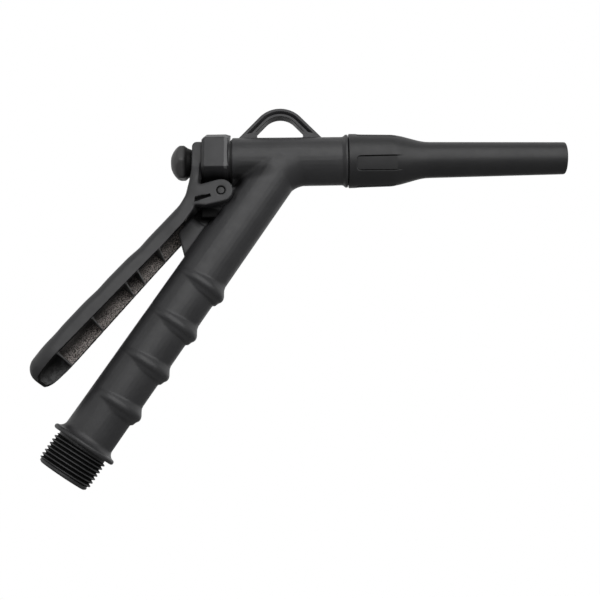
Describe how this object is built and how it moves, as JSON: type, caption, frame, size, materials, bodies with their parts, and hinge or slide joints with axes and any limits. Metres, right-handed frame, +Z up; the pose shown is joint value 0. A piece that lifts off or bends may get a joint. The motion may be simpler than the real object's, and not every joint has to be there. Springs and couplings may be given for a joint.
{
  "type": "fuel nozzle",
  "caption": "Hand-squeezed fuel nozzle: angled ribbed grip with threaded inlet, tapered spout, hanging loop and a pivoting lever that draws a sprung valve stem.",
  "frame": {"origin": "centre of the inlet's open end face, on the grip's axis", "axes": "+X along the barrel and spout towards the outlet, +Z up towards the hanging loop, +Y away from the viewer of the lever's right side; the barrel is level and the grip slants down and back to the inlet"},
  "size_m": [0.3156, 0.0416, 0.2289],
  "materials": {
    "body_plastic": "black moulded plastic, satin, fine pebbled",
    "spout_plastic": "black moulded plastic, satin",
    "bonnet_plastic": "black moulded plastic, satin",
    "lever_plastic": "black moulded plastic, satin outside, rougher inside",
    "cap_plastic": "black moulded plastic, satin",
    "strainer_plastic": "black moulded plastic",
    "rubber": "black nitrile rubber",
    "acetal": "white acetal",
    "brass": "turned brass",
    "steel": "turned stainless steel",
    "pin_steel": "black oxide steel"
  },
  "bodies": {
    "nozzle": {"nozzle_body": "body_plastic", "spout": "spout_plastic", "spout_gasket": "rubber", "seat_ring": "brass", "seat_o_ring": "rubber", "bonnet": "bonnet_plastic", "bonnet_gasket": "rubber", "gland_bush": "acetal", "stem_o_ring_front": "rubber", "o_ring_spacer": "acetal", "stem_o_ring_rear": "rubber", "spring_washer": "steel", "valve_spring": "steel", "pivot_pin": "pin_steel", "inlet_strainer": "strainer_plastic", "strainer_mesh": "steel"},
    "valve": {"stem": "steel", "poppet": "brass", "poppet_seal": "rubber", "poppet_washer": "steel", "poppet_nut": "steel", "cap_nut": "cap_plastic"},
    "lever": {"lever": "lever_plastic"}
  },
  "joints": [
    {"name": "lever_pivot", "type": "hinge", "parent": "nozzle", "child": "lever", "pos_m": [0.08969, 0, 0.1643], "axis": [0, -1, 0], "range_deg": [0, 8.4], "stiffness_Nm_per_rad": 0.85, "springref_deg": -17.19},
    {"name": "stem_slide", "type": "slide", "parent": "nozzle", "child": "valve", "axis": [-1, 0, 0], "range_m": [0, 0.0039], "stiffness_N_per_m": 300, "springref_m": -0.008, "deforming": ["valve_spring"]}
  ],
  "couplings": [
    {"joint": "stem_slide", "follows": "lever_pivot", "m_per_rad": 0.0266}
  ]
}
